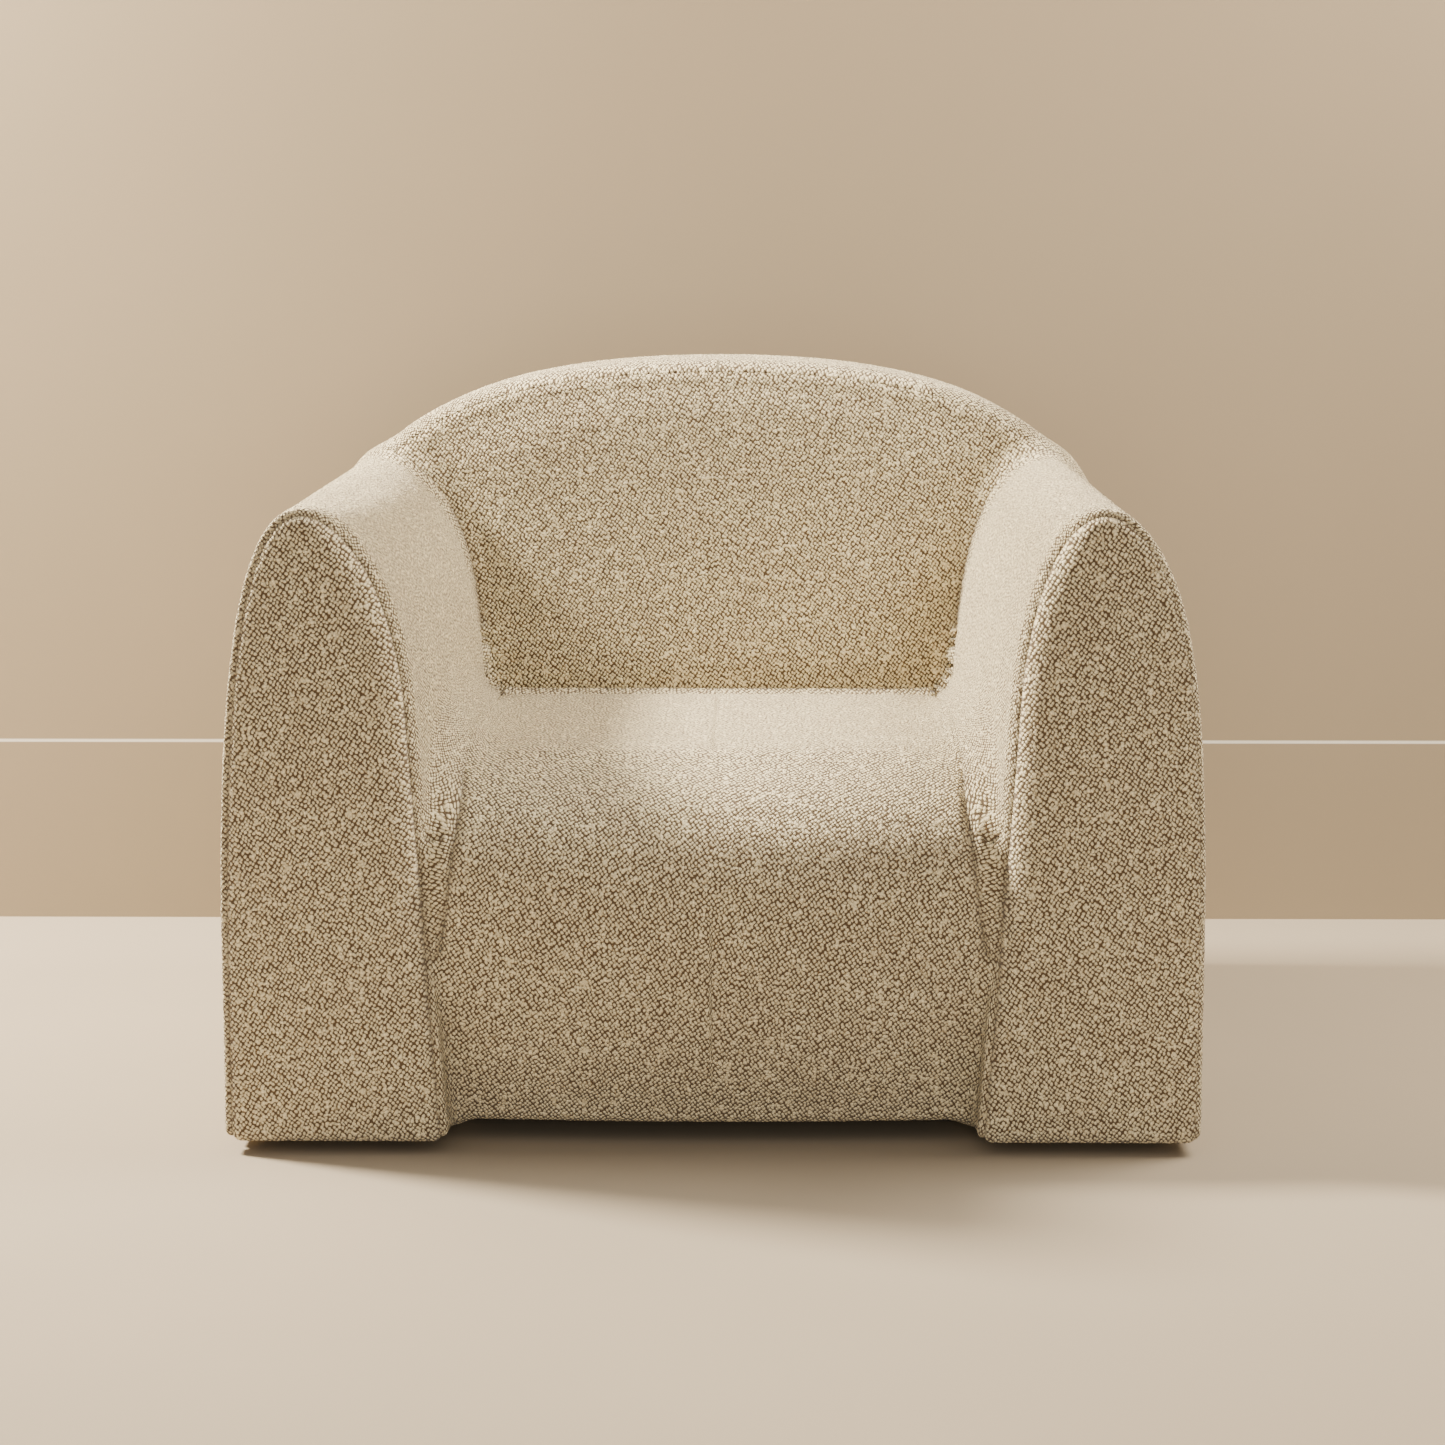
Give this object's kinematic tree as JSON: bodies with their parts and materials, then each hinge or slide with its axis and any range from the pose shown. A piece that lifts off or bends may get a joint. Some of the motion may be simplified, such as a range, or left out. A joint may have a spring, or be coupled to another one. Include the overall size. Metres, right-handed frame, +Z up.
{
  "type": "upholstered armchair",
  "caption": "Low, wide lounge armchair with arch-section arms, a bell-shaped back and a rolled seat, covered in cream boucle over foam on a timber frame.",
  "frame": {"origin": "centre of the footprint, on the floor", "axes": "+Z up, the front faces -Y, +X to the right of someone facing the chair"},
  "size_m": [1, 0.88, 0.788],
  "materials": {
    "boucle": "chunky cream boucle weave",
    "foam": "open-cell upholstery foam",
    "plywood": "raw birch plywood",
    "beech": "planed beech",
    "webbing": "woven elastic webbing",
    "lining": "non-woven dust cloth",
    "steel": "zinc plated",
    "glide": "moulded, matte"
  },
  "bodies": {
    "root": {"arm_bolt_nuts": "steel", "arm_bolts": "steel", "back_base_board": "plywood", "back_centre_post": "beech", "back_crown_foam": "foam", "back_head_rail": "beech", "back_lower_rail": "beech", "back_panel": "plywood", "back_rim_cover": "boucle", "corner_block_screws": "steel", "corner_blocks": "beech", "dust_cover": "lining", "floor_glides": "glide", "glide_screws": "steel", "inner_back_cover": "boucle", "inner_back_foam": "foam", "left_arm_base_board": "plywood", "left_arm_cover": "boucle", "left_arm_front_board": "plywood", "left_arm_front_cover": "boucle", "left_arm_front_foam": "foam", "left_arm_inner_board": "plywood", "left_arm_inner_foam": "foam", "left_arm_outer_board": "plywood", "left_arm_outer_foam": "foam", "left_arm_rear_board": "plywood", "left_arm_top_foam": "foam", "left_arm_top_rail": "beech", "left_back_cross_rail": "beech", "left_back_post": "beech", "left_back_rim_foam": "foam", "left_seat_side_rail": "beech", "outer_back_board": "plywood", "outer_back_cover": "boucle", "outer_back_foam": "foam", "right_arm_base_board": "plywood", "right_arm_cover": "boucle", "right_arm_front_board": "plywood", "right_arm_front_cover": "boucle", "right_arm_front_foam": "foam", "right_arm_inner_board": "plywood", "right_arm_inner_foam": "foam", "right_arm_outer_board": "plywood", "right_arm_outer_foam": "foam", "right_arm_rear_board": "plywood", "right_arm_top_foam": "foam", "right_arm_top_rail": "beech", "right_back_cross_rail": "beech", "right_back_post": "beech", "right_back_rim_foam": "foam", "right_seat_side_rail": "beech", "seat_cover": "boucle", "seat_cross_webbing": "webbing", "seat_foam": "foam", "seat_front_board": "plywood", "seat_front_foam": "foam", "seat_front_rail": "beech", "seat_long_webbing": "webbing", "seat_rear_rail": "beech"}
  },
  "joints": []
}
